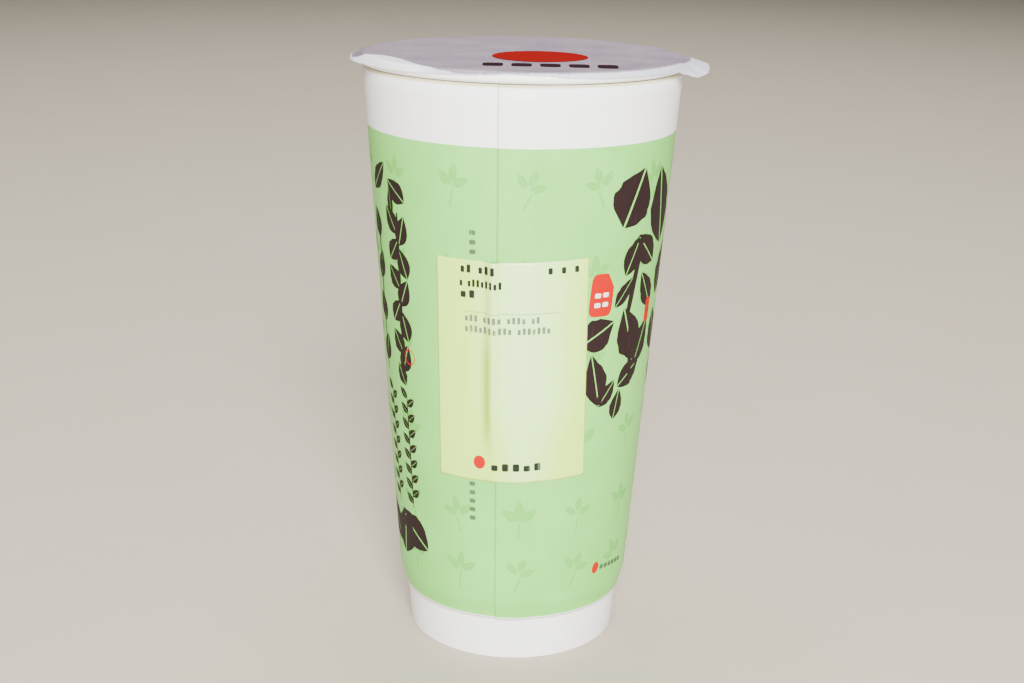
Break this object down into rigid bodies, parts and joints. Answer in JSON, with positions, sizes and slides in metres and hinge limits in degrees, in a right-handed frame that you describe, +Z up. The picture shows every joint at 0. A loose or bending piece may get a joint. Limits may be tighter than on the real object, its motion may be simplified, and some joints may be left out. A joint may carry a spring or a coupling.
{
  "type": "sealed double-wall paper drinks cup",
  "caption": "Tall tapered double-wall paper cup with a rolled rim, a film lid sealed over it and an order label.",
  "frame": {"origin": "centre of the ring that the cup stands on, at the table", "axes": "+Z up along the cup's axis, -Y towards the order label, +X towards the film's pull tab"},
  "size_m": [0.0968, 0.0958, 0.1692],
  "materials": {
    "white_board": "coated, satin",
    "printed_board": "printed, satin",
    "glue": "satin",
    "label_paper": "coated, satin",
    "lid_film": "gloss"
  },
  "bodies": {
    "cup": {"inner_cup_wall": "white_board", "cup_bottom": "white_board", "outer_wrap": "printed_board", "upper_glue_line": "glue", "lower_glue_line": "glue", "order_label": "label_paper"},
    "film": {"sealing_film": "lid_film"}
  },
  "joints": [
    {"name": "film_peel", "type": "hinge", "parent": "cup", "child": "film", "pos_m": [-0.0485, 0, 0.166], "axis": [0, -1, 0], "range_deg": [0, 135]}
  ]
}
